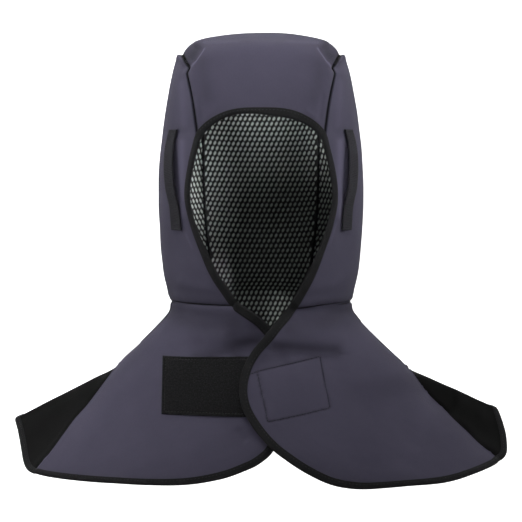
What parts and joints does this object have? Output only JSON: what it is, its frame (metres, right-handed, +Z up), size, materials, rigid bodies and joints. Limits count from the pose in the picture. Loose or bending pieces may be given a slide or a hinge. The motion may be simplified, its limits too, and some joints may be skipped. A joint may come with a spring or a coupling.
{
  "type": "welding balaclava",
  "caption": "Cloth welding hood with a net lining, a taped face opening, webbing loops on the sides and a neck drape that closes in front with an overlapping flap.",
  "frame": {"origin": "inside of the crown, on the lining's underside in the middle of the top, where the wearer's head bears", "axes": "+X to the right of the front view, +Y from the face to the back of the head, +Z up"},
  "size_m": [0.508, 0.3016, 0.4607],
  "materials": {
    "grey_cloth": "matte woven cotton",
    "black_cloth": "matte black cloth",
    "tape": "ribbed black tape",
    "webbing": "black woven webbing",
    "net": "open knitted net over a pale ground",
    "pile": "black loop and hook pile"
  },
  "bodies": {
    "root": {"crown_panel": "grey_cloth", "side_panel_L": "grey_cloth", "side_panel_R": "grey_cloth", "hood_lining": "net", "drape_front_L": "grey_cloth", "drape_front_R": "grey_cloth", "drape_back": "black_cloth", "edge_tape": "tape", "strap_loop_L": "webbing", "strap_loop_R": "webbing", "loop_patch": "pile", "hook_patch": "pile"}
  },
  "joints": []
}
